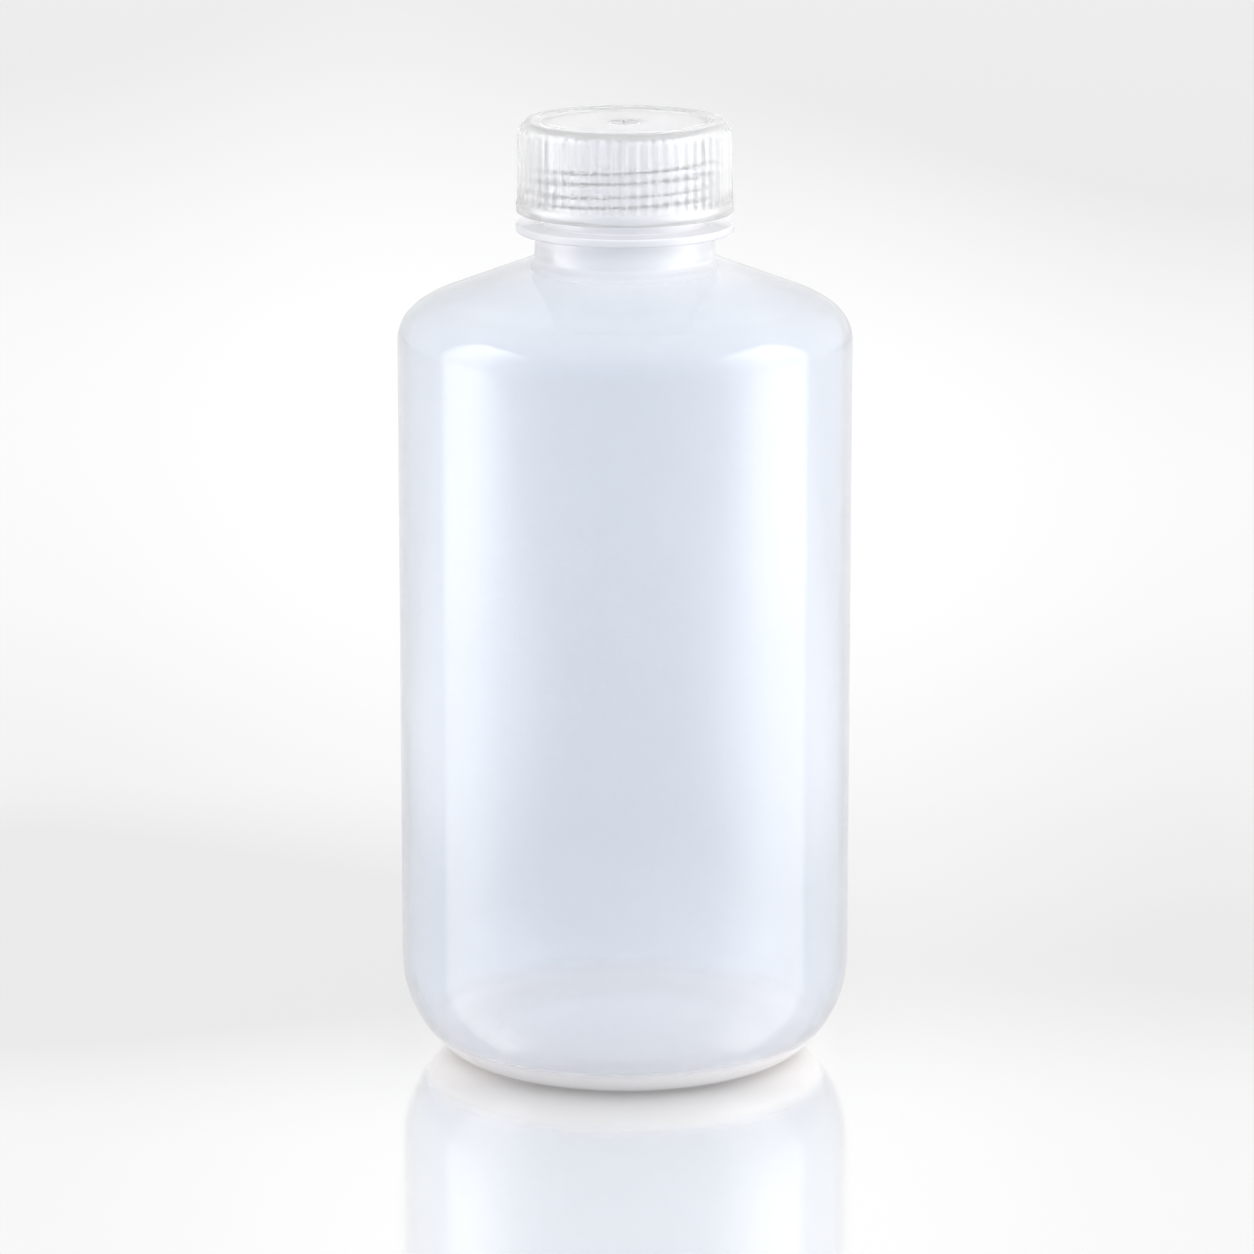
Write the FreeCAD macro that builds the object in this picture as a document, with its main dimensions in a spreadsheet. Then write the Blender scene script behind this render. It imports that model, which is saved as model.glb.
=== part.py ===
import FreeCAD, Part
import Sketcher
import os
import re

# Narrow mouth reagent bottle: a blown bottle and its fluted screw cap.
# Millimetres, +Z up, origin at the centre of the base.

# Driving dimensions
SIZES = (
    ("body_radius", 30.5, "outside of the straight body"),
    ("wall", 1.1, "blown wall, the same from base to shoulder"),
    ("base_rise", 1.6, "height of the pushed-up base at its centre"),
    ("rim_width", 2.2, "flat ring that the bottle stands on"),
    ("rise_width", 2.2, "reach of the slope up to the raised middle of the base"),
    ("foot_radius", 6.7, "tight arc from the standing ring"),
    ("flank_radius", 15.8, "wide arc from the foot to the wall"),
    ("flank_angle", 47.5, "sweep of the wide arc, degrees"),
    ("wall_top", 98.6, "height where the straight wall ends"),
    ("corner_radius", 5.35, "tight arc at the top of the wall"),
    ("corner_angle", 52.1, "sweep of the tight arc, degrees"),
    ("brow_radius", 11.2, "wide arc that runs into the shoulder cone"),
    ("shoulder_angle", 21.2, "slope of the shoulder cone, degrees"),
    ("neck_radius", 12.1, "outside of the neck under the ring"),
    ("neck_wall", 1.5, "wall of the neck under the ring"),
    ("foot_flare", 0.95, "reach of the flare where the neck meets the cone"),
    ("flare_angle", 36.0, "slope of that flare, degrees"),
    ("neck_height", 3.4, "from the flare to the ring"),
    ("ring_radius", 14.63, "outside of the neck ring"),
    ("ring_thickness", 1.11, "height of the neck ring"),
    ("finish_radius", 10.85, "neck under its thread"),
    ("finish_height", 12.4, "from the ring to the lip"),
    ("mouth_radius", 9.0, "clear mouth"),
    ("thread_pitch", 3.175, "rise of the neck thread in one turn"),
    ("thread_turns", 1.45, "length of the neck thread"),
    ("thread_depth", 1.05, "height of the thread over the neck"),
    ("thread_base", 1.9, "width of the thread at its root"),
    ("thread_crest", 1.0, "width of the thread at its crest"),
    ("thread_drop", 2.4, "from the lip to the end of the thread"),
    ("thread_angle", 180.0, "where the thread starts, degrees"),
    ("thread_clearance", 0.45, "thread crest to the bore of the cap"),
    ("cap_wall", 1.63, "cap wall behind the flutes"),
    ("cap_gap", 1.58, "from the neck ring to the cap"),
    ("panel_thickness", 1.11, "top of the cap inside its rim"),
    ("rim_height", 0.3, "rim over the recessed top panel"),
    ("cap_draft", 0.68, "taper of the skirt, degrees"),
    ("flute_depth", 0.44, "depth of a flute at the foot of the skirt"),
    ("flute_count", 60, "flutes round the skirt"),
    ("bevel_width", 1.15, "reach of the bevel round the top"),
    ("bevel_height", 1.26, "height of the bevel round the top"),
    ("flange_thickness", 1.32, "height of the band at the foot of the skirt"),
    ("flange_overhang", 0.18, "reach of that band past the flutes"),
    ("skirt_spare", 0.045, "turned skirt past the flute crests, which the flutes cut away"),
    ("flute_spare", 0.09, "reach of a flute past the turned skirt"),
    ("rim_band", 1.65, "width of the rim round the top panel"),
    ("panel_slope", 0.25, "reach of the step down to the panel"),
    ("dimple_radius", 1.9, "dimple round the moulding gate"),
    ("dimple_depth", 0.15, "depth of that dimple"),
    ("dimple_slope", 0.3, "reach of the slope into that dimple"),
    ("gate_radius", 0.32, "stub left by the moulding gate"),
    ("gate_height", 0.42, "height of that stub"),
    ("skirt_entry", 0.5, "chamfer at the mouth of the skirt"),
    ("root_overlap", 0.3, "how far the thread is rooted in the neck"),
    ("foot_steps", 2, "straight steps of the foot arc, outside"),
    ("flank_steps", 5, "straight steps of the flank arc, outside"),
    ("corner_steps", 3, "straight steps of the corner arc, outside"),
    ("brow_steps", 1, "straight steps of the brow arc, outside"),
    ("inner_foot_steps", 1, "straight steps of the foot arc, inside"),
    ("inner_flank_steps", 1, "straight steps of the flank arc, inside"),
    ("inner_corner_steps", 2, "straight steps of the corner arc, inside"),
    ("inner_brow_steps", 1, "straight steps of the brow arc, inside"),
)

doc = FreeCAD.newDocument("reagent_bottle")
sheet = doc.addObject("Spreadsheet::Sheet", "sizes")
for row, (alias, value, note) in enumerate(SIZES, start=1):
    sheet.set(f"A{row}", note)
    sheet.set(f"B{row}", str(value))
    sheet.setAlias(f"B{row}", alias)
doc.recompute()


def check(passed, message):
    """Stop with a plain message."""
    if not passed:
        raise RuntimeError(message)


def from_sheet(text):
    """An expression in which every size is read from the sheet."""
    names = "|".join(alias for alias, value, note in SIZES)
    return re.sub(rf"\b({names})\b", r"sizes.\1", text)


def number(text):
    """The present value of an expression."""
    return float(sheet.evalExpression(from_sheet(text)))


# Places worked out from the sizes, from the base up.
# Each arc runs into its neighbours without a kink.
FLANK_X = "(body_radius - flank_radius)"
FLANK_Z = "(foot_radius + (flank_radius - foot_radius) * sin(flank_angle))"
FOOT_X = f"({FLANK_X} + (flank_radius - foot_radius) * cos(flank_angle))"
RISE_RADIUS = f"({FOOT_X} - rim_width)"
CORNER_X = "(body_radius - corner_radius)"
BROW_X = f"({CORNER_X} - (brow_radius - corner_radius) * cos(corner_angle))"
BROW_Z = "(wall_top - (brow_radius - corner_radius) * sin(corner_angle))"
BROW_END_X = f"({BROW_X} + brow_radius * sin(shoulder_angle))"
BROW_END_Z = f"({BROW_Z} + brow_radius * cos(shoulder_angle))"
FLARE_X = "(neck_radius + foot_flare)"


def cone_z(radius):
    """Height of the outer shoulder cone at a radius."""
    return f"({BROW_END_Z} + ({BROW_END_X} - {radius}) * tan(shoulder_angle))"


FLARE_Z = cone_z(FLARE_X)
NECK_Z = f"({FLARE_Z} + foot_flare * tan(flare_angle))"
RING_Z = f"({NECK_Z} + neck_height)"
RING_TOP_Z = f"({RING_Z} + ring_thickness)"
LIP_Z = f"({RING_TOP_Z} + finish_height)"
NECK_INSIDE = "(neck_radius - neck_wall)"
CONE_INSIDE_Z = f"({cone_z(NECK_INSIDE)} - wall / cos(shoulder_angle))"
BORE_RADIUS = "(finish_radius + thread_depth + thread_clearance)"
FLUTE_ROOT = f"({BORE_RADIUS} + cap_wall)"
SKIRT_RADIUS = f"({FLUTE_ROOT} + flute_depth)"
FLANGE_RADIUS = f"({SKIRT_RADIUS} + flange_overhang)"
CAP_FOOT_Z = f"({RING_TOP_Z} + cap_gap)"
FLANGE_Z = f"({CAP_FOOT_Z} + flange_thickness)"
PANEL_Z = f"({LIP_Z} + panel_thickness)"
CAP_TOP_Z = f"({PANEL_Z} + rim_height)"
BEVEL_Z = f"({CAP_TOP_Z} - bevel_height)"
SKIRT_TOP_RADIUS = f"({SKIRT_RADIUS} - ({BEVEL_Z} - {FLANGE_Z}) * tan(cap_draft))"
TOP_RADIUS = f"({SKIRT_TOP_RADIUS} - bevel_width)"
PANEL_RADIUS = f"({TOP_RADIUS} - rim_band)"
THREAD_START_Z = f"({LIP_Z} - thread_drop - thread_turns * thread_pitch)"

# Round stretches of the blown wall, from the standing ring up: centre, radius, first and
# last angle from level, and whether they lie below or above the centre.
ROUNDS = (
    ("foot", (FOOT_X, "foot_radius"), "foot_radius", ("90", "flank_angle"), "-"),
    ("flank", (FLANK_X, FLANK_Z), "flank_radius", ("flank_angle", "0"), "-"),
    ("corner", (CORNER_X, "wall_top"), "corner_radius", ("0", "corner_angle"), "+"),
    ("brow", (BROW_X, BROW_Z), "brow_radius", ("corner_angle", "(90 - shoulder_angle)"), "+"),
)

# A blown bottle is less than half as full of plastic as its outside.
FULL_SHARE = 0.5


def new_body(name):
    """An empty body with its own label."""
    body = doc.addObject("PartDesign::Body", name)
    body.Label = name
    return body


def new_sketch(body, name, plane):
    """A sketch on one of the body's own origin planes."""
    sketch = body.newObject("Sketcher::SketchObject", name)
    support = next(item for item in body.Origin.OriginFeatures if item.Role == plane)
    sketch.AttachmentSupport = [(support, "")]
    sketch.MapMode = "FlatFace"
    return sketch


def fix_point(sketch, edge, end, name, place):
    """Tie one point of a sketch to its expressions; a bare 0 lies on the axis."""
    for axis, kind, text in ((-2, "DistanceX", place[0]), (-1, "DistanceY", place[1])):
        if text == "0":
            sketch.addConstraint(Sketcher.Constraint("PointOnObject", edge, end, axis))
            continue
        size = Sketcher.Constraint(kind, -1, 1, edge, end, number(text))
        index = sketch.addConstraint(size)
        label = f"{name}_{kind[-1].lower()}"
        sketch.renameConstraint(index, label)
        sketch.setExpression(f"Constraints.{label}", from_sheet(text))


def draw_outline(sketch, path):
    """A closed outline of straight steps, each given as (name, x, z) of its start."""
    count = len(path)
    edges = []
    for index, (name, x, z) in enumerate(path):
        after = path[(index + 1) % count]
        here = FreeCAD.Vector(number(x), number(z), 0)
        there = FreeCAD.Vector(number(after[1]), number(after[2]), 0)
        edges.append(sketch.addGeometry(Part.LineSegment(here, there), False))
    for index, (name, x, z) in enumerate(path):
        joined = (edges[index - 1], 2, edges[index], 1)
        sketch.addConstraint(Sketcher.Constraint("Coincident", *joined))
        fix_point(sketch, edges[index], 1, name, (x, z))


def wall_points(inset, prefix):
    """The blown wall from the standing ring to the shoulder cone, set in by the wall or by 0.

    Each round stretch is taken in short straight steps, whose count the sheet holds under
    the prefix and the name of the stretch.
    """
    points = []
    for name, centre, radius, sweep, side in ROUNDS:
        count = int(number(f"{prefix}{name}_steps"))
        for index in range(count + 1):
            angle = f"({sweep[0]} + ({sweep[1]} - {sweep[0]}) * {index} / {count})"
            x = f"{centre[0]} + ({radius} - {inset}) * cos({angle})"
            z = f"{centre[1]} {side} ({radius} - {inset}) * sin({angle})"
            points.append((f"{name}_{index}", x, z))
        if name in ("foot", "corner"):
            points.pop()
    return points


def turned(body, name, kind, path):
    """A revolution or groove of an outline about the upright axis."""
    sketch = new_sketch(body, f"{name}_outline", "XZ_Plane")
    draw_outline(sketch, path)
    feature = body.newObject(kind, name)
    feature.Profile = sketch
    feature.ReferenceAxis = (sketch, ["V_Axis"])
    feature.Angle = 360.0
    doc.recompute()
    return feature


def make_bottle():
    """The blown bottle: outside, hollow and neck thread."""
    body = new_body("bottle")
    outside = [
        ("base_centre", "0", "base_rise"),
        ("rise_end", f"{RISE_RADIUS} - rise_width", "base_rise"),
        ("rise_start", RISE_RADIUS, "0"),
        *wall_points("0", ""),
        ("flare_start", FLARE_X, FLARE_Z),
        ("neck_start", "neck_radius", NECK_Z),
        ("ring_root", "neck_radius", RING_Z),
        ("ring_edge", "ring_radius", RING_Z),
        ("ring_top", "ring_radius", RING_TOP_Z),
        ("finish_root", "finish_radius", RING_TOP_Z),
        ("lip_edge", "finish_radius", LIP_Z),
        ("lip_centre", "0", LIP_Z),
    ]
    hollow = [
        ("floor_centre", "0", "base_rise + wall"),
        ("floor_end", f"{RISE_RADIUS} - rise_width", "base_rise + wall"),
        ("floor_foot", RISE_RADIUS, "wall"),
        *wall_points("wall", "inner_"),
        ("neck_start", NECK_INSIDE, CONE_INSIDE_Z),
        ("taper_start", NECK_INSIDE, RING_Z),
        ("mouth_start", "mouth_radius", RING_TOP_Z),
        ("mouth_end", "mouth_radius", LIP_Z),
        ("mouth_centre", "0", LIP_Z),
    ]
    solid = turned(body, "outside", "PartDesign::Revolution", outside)
    blown = turned(body, "hollow", "PartDesign::Groove", hollow)
    check(blown.Shape.Volume < solid.Shape.Volume * FULL_SHARE, "the hollow cut too little")
    add_thread(body)
    return body


def add_thread(body):
    """The raised right-hand thread on the neck, rooted a little under its surface."""
    sketch = new_sketch(body, "thread_outline", "XZ_Plane")
    sketch.AttachmentOffset = FreeCAD.Placement(
        FreeCAD.Vector(0, number(THREAD_START_Z), 0),
        FreeCAD.Rotation(FreeCAD.Vector(0, 1, 0), number("thread_angle")),
    )
    sketch.setExpression("AttachmentOffset.Base.y", from_sheet(THREAD_START_Z))
    sketch.setExpression("AttachmentOffset.Rotation.Angle", from_sheet("thread_angle"))
    root = "finish_radius - root_overlap"
    crest = "finish_radius + thread_depth"
    draw_outline(
        sketch,
        (
            ("root_low", root, "0 - thread_base / 2"),
            ("crest_low", crest, "0 - thread_crest / 2"),
            ("crest_high", crest, "thread_crest / 2"),
            ("root_high", root, "thread_base / 2"),
        ),
    )
    before = body.Tip.Shape.Volume
    thread = body.newObject("PartDesign::AdditiveHelix", "neck_thread")
    thread.Profile = sketch
    thread.ReferenceAxis = (sketch, ["V_Axis"])
    thread.Mode = "pitch-turns-angle"
    thread.setExpression("Pitch", from_sheet("thread_pitch"))
    thread.setExpression("Turns", from_sheet("thread_turns"))
    doc.recompute()
    check(thread.Shape.Volume > before, "the thread added nothing")


def make_cap():
    """The screw cap: turned form, bore and a ring of flutes."""
    body = new_body("cap")
    section = (
        ("gate_centre", "0", f"{PANEL_Z} - dimple_depth + gate_height"),
        ("gate_edge", "gate_radius", f"{PANEL_Z} - dimple_depth + gate_height"),
        ("gate_root", "gate_radius", f"{PANEL_Z} - dimple_depth"),
        ("dimple_root", "dimple_radius - dimple_slope", f"{PANEL_Z} - dimple_depth"),
        ("dimple_edge", "dimple_radius", PANEL_Z),
        ("panel_edge", f"{PANEL_RADIUS} - panel_slope", PANEL_Z),
        ("rim_inner", PANEL_RADIUS, CAP_TOP_Z),
        ("rim_outer", TOP_RADIUS, CAP_TOP_Z),
        ("skirt_top", f"{SKIRT_TOP_RADIUS} + skirt_spare", BEVEL_Z),
        ("skirt_foot", f"{SKIRT_RADIUS} + skirt_spare", FLANGE_Z),
        ("flange_top", FLANGE_RADIUS, FLANGE_Z),
        ("flange_foot", FLANGE_RADIUS, CAP_FOOT_Z),
        ("entry_edge", f"{BORE_RADIUS} + skirt_entry", CAP_FOOT_Z),
        ("bore_start", BORE_RADIUS, f"{CAP_FOOT_Z} + skirt_entry"),
        ("bore_end", BORE_RADIUS, LIP_Z),
        ("seat_centre", "0", LIP_Z),
    )
    turned(body, "form", "PartDesign::Revolution", section)
    add_flutes(body)
    return body


def add_flutes(body):
    """Grip flutes side by side. Each leans in with the draft and runs out through the bevel."""
    sketch = new_sketch(body, "flute_outline", "XY_Plane")
    sketch.AttachmentOffset = FreeCAD.Placement(
        FreeCAD.Vector(0, 0, number(FLANGE_Z)), FreeCAD.Rotation()
    )
    sketch.setExpression("AttachmentOffset.Base.z", from_sheet(FLANGE_Z))
    half_pitch = "(180 / flute_count)"
    crest_x = f"({SKIRT_RADIUS} * cos({half_pitch}))"
    crest_y = f"({SKIRT_RADIUS} * sin({half_pitch}))"
    mouth_x = f"({SKIRT_RADIUS} + skirt_spare + flute_spare)"
    mouth_y = f"({crest_y} * ({mouth_x} - {FLUTE_ROOT}) / ({crest_x} - {FLUTE_ROOT}))"
    draw_outline(
        sketch,
        (
            ("flute_root", FLUTE_ROOT, "0"),
            ("mouth_right", mouth_x, f"0 - {mouth_y}"),
            ("mouth_left", mouth_x, mouth_y),
        ),
    )
    before = body.Tip.Shape.Volume
    flute = body.newObject("PartDesign::Pocket", "flute")
    flute.Profile = sketch
    flute.UseCustomVector = True
    flute.AlongSketchNormal = True
    flute.Direction = FreeCAD.Vector(number("0 - sin(cap_draft)"), 0, number("cos(cap_draft)"))
    flute.setExpression("Direction.x", from_sheet("0 - sin(cap_draft)"))
    flute.setExpression("Direction.z", from_sheet("cos(cap_draft)"))
    flute.setExpression("Length", from_sheet(f"{CAP_TOP_Z} - {FLANGE_Z}"))
    doc.recompute()
    check(flute.Shape.Volume < before, "the flute cut nothing")
    ring = body.newObject("PartDesign::PolarPattern", "flutes")
    ring.Originals = [flute]
    ring.Axis = (sketch, ["N_Axis"])
    ring.Angle = 360.0
    ring.setExpression("Occurrences", from_sheet("flute_count"))
    body.Tip = ring
    doc.recompute()
    check(ring.Shape.Volume < flute.Shape.Volume, "the flutes were not repeated")


bodies = [make_bottle(), make_cap()]
doc.recompute()

for item in doc.Objects:
    check(not {"Invalid", "Error"} & set(item.State), f"{item.Name} failed")
for body in bodies:
    shape = body.Shape
    check(not shape.isNull() and shape.isValid(), f"{body.Label} has no valid shape")
    check(len(shape.Solids) == 1, f"{body.Label} is not one solid")

os.makedirs("parts", exist_ok=True)
for body in bodies:
    body.Shape.exportStep(f"parts/{body.Label}.step")

for body in bodies:
    box = body.Shape.BoundBox
    print(f"{body.Label}: {body.Shape.Volume / 1000:.2f} cm3, z {box.ZMin:.2f} to {box.ZMax:.2f}")
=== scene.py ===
import math

import bmesh
import bpy
from bpy.props import FloatProperty, FloatVectorProperty, IntProperty, PointerProperty
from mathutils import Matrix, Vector


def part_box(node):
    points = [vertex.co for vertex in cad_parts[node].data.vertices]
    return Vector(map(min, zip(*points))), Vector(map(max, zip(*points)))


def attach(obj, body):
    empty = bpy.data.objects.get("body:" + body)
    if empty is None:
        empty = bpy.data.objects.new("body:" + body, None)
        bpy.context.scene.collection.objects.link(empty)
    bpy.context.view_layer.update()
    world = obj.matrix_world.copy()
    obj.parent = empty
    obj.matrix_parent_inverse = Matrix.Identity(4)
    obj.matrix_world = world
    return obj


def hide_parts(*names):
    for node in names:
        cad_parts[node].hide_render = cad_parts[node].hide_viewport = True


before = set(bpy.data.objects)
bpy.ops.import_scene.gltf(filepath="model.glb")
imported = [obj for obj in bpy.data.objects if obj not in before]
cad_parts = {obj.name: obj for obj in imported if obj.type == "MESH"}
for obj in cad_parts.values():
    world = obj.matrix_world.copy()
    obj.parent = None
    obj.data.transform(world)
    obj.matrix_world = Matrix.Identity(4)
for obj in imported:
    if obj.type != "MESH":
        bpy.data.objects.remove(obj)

bl_info = {
    "name": "Narrow Mouth Reagent Bottle",
    "version": (1, 0, 0),
    "blender": (4, 5, 0),
    "location": "View3D > Sidebar > Bottle",
    "description": "Builds a translucent narrow mouth reagent bottle with its fluted screw cap",
    "category": "Add Mesh",
}

MM = 0.001
DEGREE = math.pi / 180
FULL_TURN = 2 * math.pi
HALF_TURN = math.pi
QUARTER_TURN = math.pi / 2
WHITE = (1.0, 1.0, 1.0)
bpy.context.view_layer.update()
BOTTLE_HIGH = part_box("bottle")[1]
CAP_LOW, CAP_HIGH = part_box("cap")

# Vertices nearer than this are one vertex.
CLOSE = 0.0005 * MM
BOTTLE_COLUMNS = 192
# Rows of faces along each stretch of a profile.
BASE_ROWS = {"middle": 6, "rise": 8, "ring": 2}
WALL_ROWS = {"foot": 12, "flank": 20, "wall": 44, "corner": 18, "brow": 12}
NECK_ROWS = {"cone": 14, "flare": 3, "edge": 5, "thread": 76, "lip": 6, "mouth": 10, "inside": 6}
SKIRT_ROWS = {"slope": 2, "scoop": 12, "bevel": 3, "bore": 50, "corner": 4, "foot": 3}
TOP_ROWS = {"edge": 4, "rim": 3, "step": 5, "panel": 6, "gate": 3, "short": 2}
# Where the columns of a scooped flute stand, as parts of the scoop's width.
SCOOP_COLUMNS = (0.12, 0.26, 0.42, 0.58, 0.74, 0.88)
# Radii of the gate stub from its foot up, as parts of its own radius.
GATE_FOOT = 1.4
GATE_SHANK = 0.92
GATE_END = 0.6

# Heights where the base stops being thick, and where the neck starts to be.
THICK_BASE = (2.8 * MM, 5.0 * MM)
THICK_NECK = (105.0 * MM, 111.0 * MM)
# Faint clouds in the plastic: how many to the metre, how much paler they are, what part of
# their range counts, and how much they change the roughness.
CLOUD_SCALE = 45.0
CLOUD_PALER = 1.025
CLOUD_RANGE = (0.3, 0.7)
CLOUD_SATIN = (0.85, 1.15)
PLASTIC_IOR = 1.5

SENSOR_WIDTH = 36.0
LAMP_COLOUR = (1.0, 0.95, 0.93)
LAMP_LIFT = 1.0 * MM
# A side lamp's strength from its soft side and from its foot: from, to, value there, value here.
LAMP_ACROSS = (0.0, 0.7, 0.1, 1.0)
LAMP_UPWARDS = (0.0, 0.9, 0.6, 1.0)

# The room by direction. Each fade is from, to, value there, value here, over the part of the
# direction that goes to the side, to the back or up.
ROOM_AROUND = (-0.8, 0.1, 0.0, 1.0)
ROOM_OVERHEAD = (0.5, 0.9, 0.0, 1.0)
FILL_FRONT = (-0.9, -0.2, 1.0, 0.0)
FILL_RIGHTWARDS = (-0.4, 0.7, 0.97, 1.85)
FILL_UPWARDS = (0.0, 0.8, 1.0, 1.12)

FLOOR_LEVEL = -0.02 * MM
FLOOR_CORNERS = ((-3.0, -1.5), (3.0, -1.5), (3.0, 4.0), (-3.0, 4.0))
# Painted shade of the floor round the standing ring, over the way from the axis in metres.
FLOOR_CONTACT = (0.019, 0.027, 0.65, 1.0)
# How the floor glows, painting the backdrop's light and shade: places in metres behind the bottle, and
# the glow at each.
# It is low from 0.02 to 0.08 m, where it paints shade that deepens the real shadows that the side lamps
# cast beside the base.
FLOOR_TONES = (
    (-0.10, 0.175),
    (-0.046, 0.17),
    (-0.015, 0.145),
    (0.02, 0.03),
    (0.046, 0.01),
    (0.08, 0.045),
    (0.14, 0.115),
    (0.27, 0.20),
    (0.45, 0.205),
    (0.60, 0.175),
    (0.80, 0.09),
    (1.05, 0.0),
    (1.30, 0.0),
)
# What else changes the glow: painted shade towards the edges of the view, on the left near
# the bottle and on the right far off, and painted light on the right near the bottle and far
# out to both sides near it. Each fade is from, to, value there, value here. The first three
# are over the way aside as a share of the distance, and the rest over metres.
GLOW_EDGES = (0.03, 0.11, 0.0, -0.06)
GLOW_NEAR_RIGHT = (-0.06, 0.06, -0.07, 0.03)
GLOW_FAR_RIGHT = (-0.06, 0.1, 0.02, -0.11)
NEAR_MIDDLE = 0.05
NEAR_DEPTH = (0.0, 0.1, 1.0, 0.0)
FAR_DEPTH = (0.3, 1.0, 0.0, 1.0)
BESIDE_MIDDLE = -0.05
BESIDE_DEPTH = (0.08, 0.25, 1.0, 0.0)
BESIDE_ASIDE = (0.09, 0.2, 0.0, 0.9)
# A painted pool of light on the floor under and behind the bottle, for the light that the bottle throws
# there.
POOL_ASIDE = (0.018, 0.031, 1.0, 0.0)
POOL_START = (-0.022, -0.01, 0.0, 1.0)
POOL_END = (0.06, 0.12, 0.15, 0.0)
POOL_COLOUR = (1.0, 0.92, 0.86)
POOL_WARMTH = 4.0


# Sizes and looks that a user would change

def length(name, millimetres, description):
    """A length property. Its default is given in millimetres."""
    return FloatProperty(
        name=name, description=description, default=millimetres * MM, unit="LENGTH", precision=5
    )


def angle(name, degrees, description):
    """An angle property. Its default is given in degrees."""
    return FloatProperty(
        name=name, description=description, default=degrees * DEGREE, subtype="ANGLE", unit="ROTATION"
    )


def share(name, default, description):
    """A property from 0 to 1."""
    return FloatProperty(
        name=name, description=description, default=default, min=0.0, max=1.0, subtype="FACTOR"
    )


def colour(name, default, description):
    """A linear colour property."""
    return FloatVectorProperty(
        name=name, description=description, default=default, size=3, min=0.0, max=1.0, subtype="COLOR"
    )


class BottleSizes(bpy.types.PropertyGroup):
    """The blown bottle, from its standing ring up to its lip."""

    wall: length("Wall", 1.1, "Blown wall")
    base_rise: length("Base rise", 1.6, "Height of the pushed-up base at its centre")
    rim_width: length("Standing ring", 2.2, "Flat ring that the bottle stands on")
    rise_width: length("Rise width", 2.2, "Reach of the slope up to the raised middle of the base")
    foot_radius: length("Foot radius", 6.7, "Tight arc from the standing ring")
    flank_radius: length("Flank radius", 15.8, "Wide arc from the foot to the wall")
    flank_angle: angle("Flank angle", 47.5, "Sweep of the wide arc")
    wall_top: length("Wall top", 98.6, "Height where the straight wall ends")
    corner_radius: length("Corner radius", 5.35, "Tight arc at the top of the wall")
    corner_angle: angle("Corner angle", 52.1, "Sweep of the tight arc")
    brow_radius: length("Brow radius", 11.2, "Wide arc that runs into the shoulder cone")
    shoulder_angle: angle("Shoulder angle", 21.2, "Slope of the shoulder cone")
    neck_radius: length("Neck radius", 12.1, "Outside of the neck under its ring")
    neck_wall: length("Neck wall", 1.5, "Wall of the neck under its ring")
    flare_reach: length("Flare reach", 0.95, "Reach of the flare where the neck meets the cone")
    flare_angle: angle("Flare angle", 36.0, "Slope of that flare")
    neck_height: length("Neck height", 3.4, "From the flare to the ring")
    ring_radius: length("Ring radius", 14.63, "Outside of the neck ring")
    ring_thickness: length("Ring thickness", 1.11, "Height of the neck ring")
    finish_radius: length("Finish radius", 10.85, "Neck under its thread")
    mouth_radius: length("Mouth radius", 9.0, "Clear mouth")
    root_fillet: length("Root fillet", 0.45, "Fillet where the ring leaves the neck")
    edge_rounding: length("Edge rounding", 0.3, "Rounding of the ring's edges")
    lip_rounding: length("Lip rounding", 0.45, "Rounding of the lip")


class ThreadSizes(bpy.types.PropertyGroup):
    """The screw thread of the neck and of the cap."""

    pitch: length("Pitch", 3.175, "Rise in one turn")
    turns: FloatProperty(name="Turns", description="Length of the thread", default=1.45, min=0.1)
    depth: length("Depth", 1.05, "Height of the thread over its wall")
    root_width: length("Root width", 1.9, "Width of the thread at its root")
    crest_width: length("Crest width", 1.0, "Width of the thread at its crest")
    drop: length("Drop", 2.4, "From the lip to the upper end of the neck thread")
    start_angle: angle("Start angle", 180.0, "Where the neck thread starts")
    run_out: FloatProperty(
        name="Run-out", description="Turn over which each end fades", default=0.035, min=0.001
    )
    clearance: length("Clearance", 0.45, "Neck thread crest to the bore of the cap")


class CapSizes(bpy.types.PropertyGroup):
    """The screw cap, with its flutes, its rim and its moulding gate."""

    flute_count: IntProperty(name="Flutes", description="Flutes round the skirt", default=60, min=3)
    flute_depth: length("Flute depth", 0.36, "Depth of a scooped flute at its middle")
    flute_share: share("Flute share", 0.87, "Part of the pitch that the scoop takes")
    skirt_radius: length("Skirt radius", 14.42, "Outside of the skirt at its foot")
    skirt_draft: angle("Skirt draft", 0.68, "Taper of the skirt")
    band_height: length("Band height", 1.32, "Height of the band at the foot of the skirt")
    band_slope: FloatProperty(
        name="Band slope", description="Rise over reach of the band's upper slope", default=0.9
    )
    bevel_width: length("Bevel width", 1.15, "Reach of the bevel round the top")
    bevel_height: length("Bevel height", 1.26, "Height of the bevel round the top")
    rim_band: length("Rim band", 1.65, "Width of the rim round the top panel")
    rim_height: length("Rim height", 0.3, "Rim over the recessed top panel")
    panel_slope: length("Panel slope", 0.25, "Reach of the step down to the panel")
    dimple_radius: length("Dimple radius", 1.9, "Dimple round the moulding gate")
    dimple_depth: length("Dimple depth", 0.15, "Depth of that dimple")
    gate_radius: length("Gate radius", 0.32, "Stub left by the moulding gate")
    gate_height: length("Gate height", 0.42, "Height of that stub")
    entry: length("Entry", 0.5, "Chamfer at the mouth of the skirt")
    rounding: length("Rounding", 0.22, "Rounding of the outer edges")
    seat_gap: length("Seat gap", 0.03, "Lip to the underside of the panel")


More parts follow.
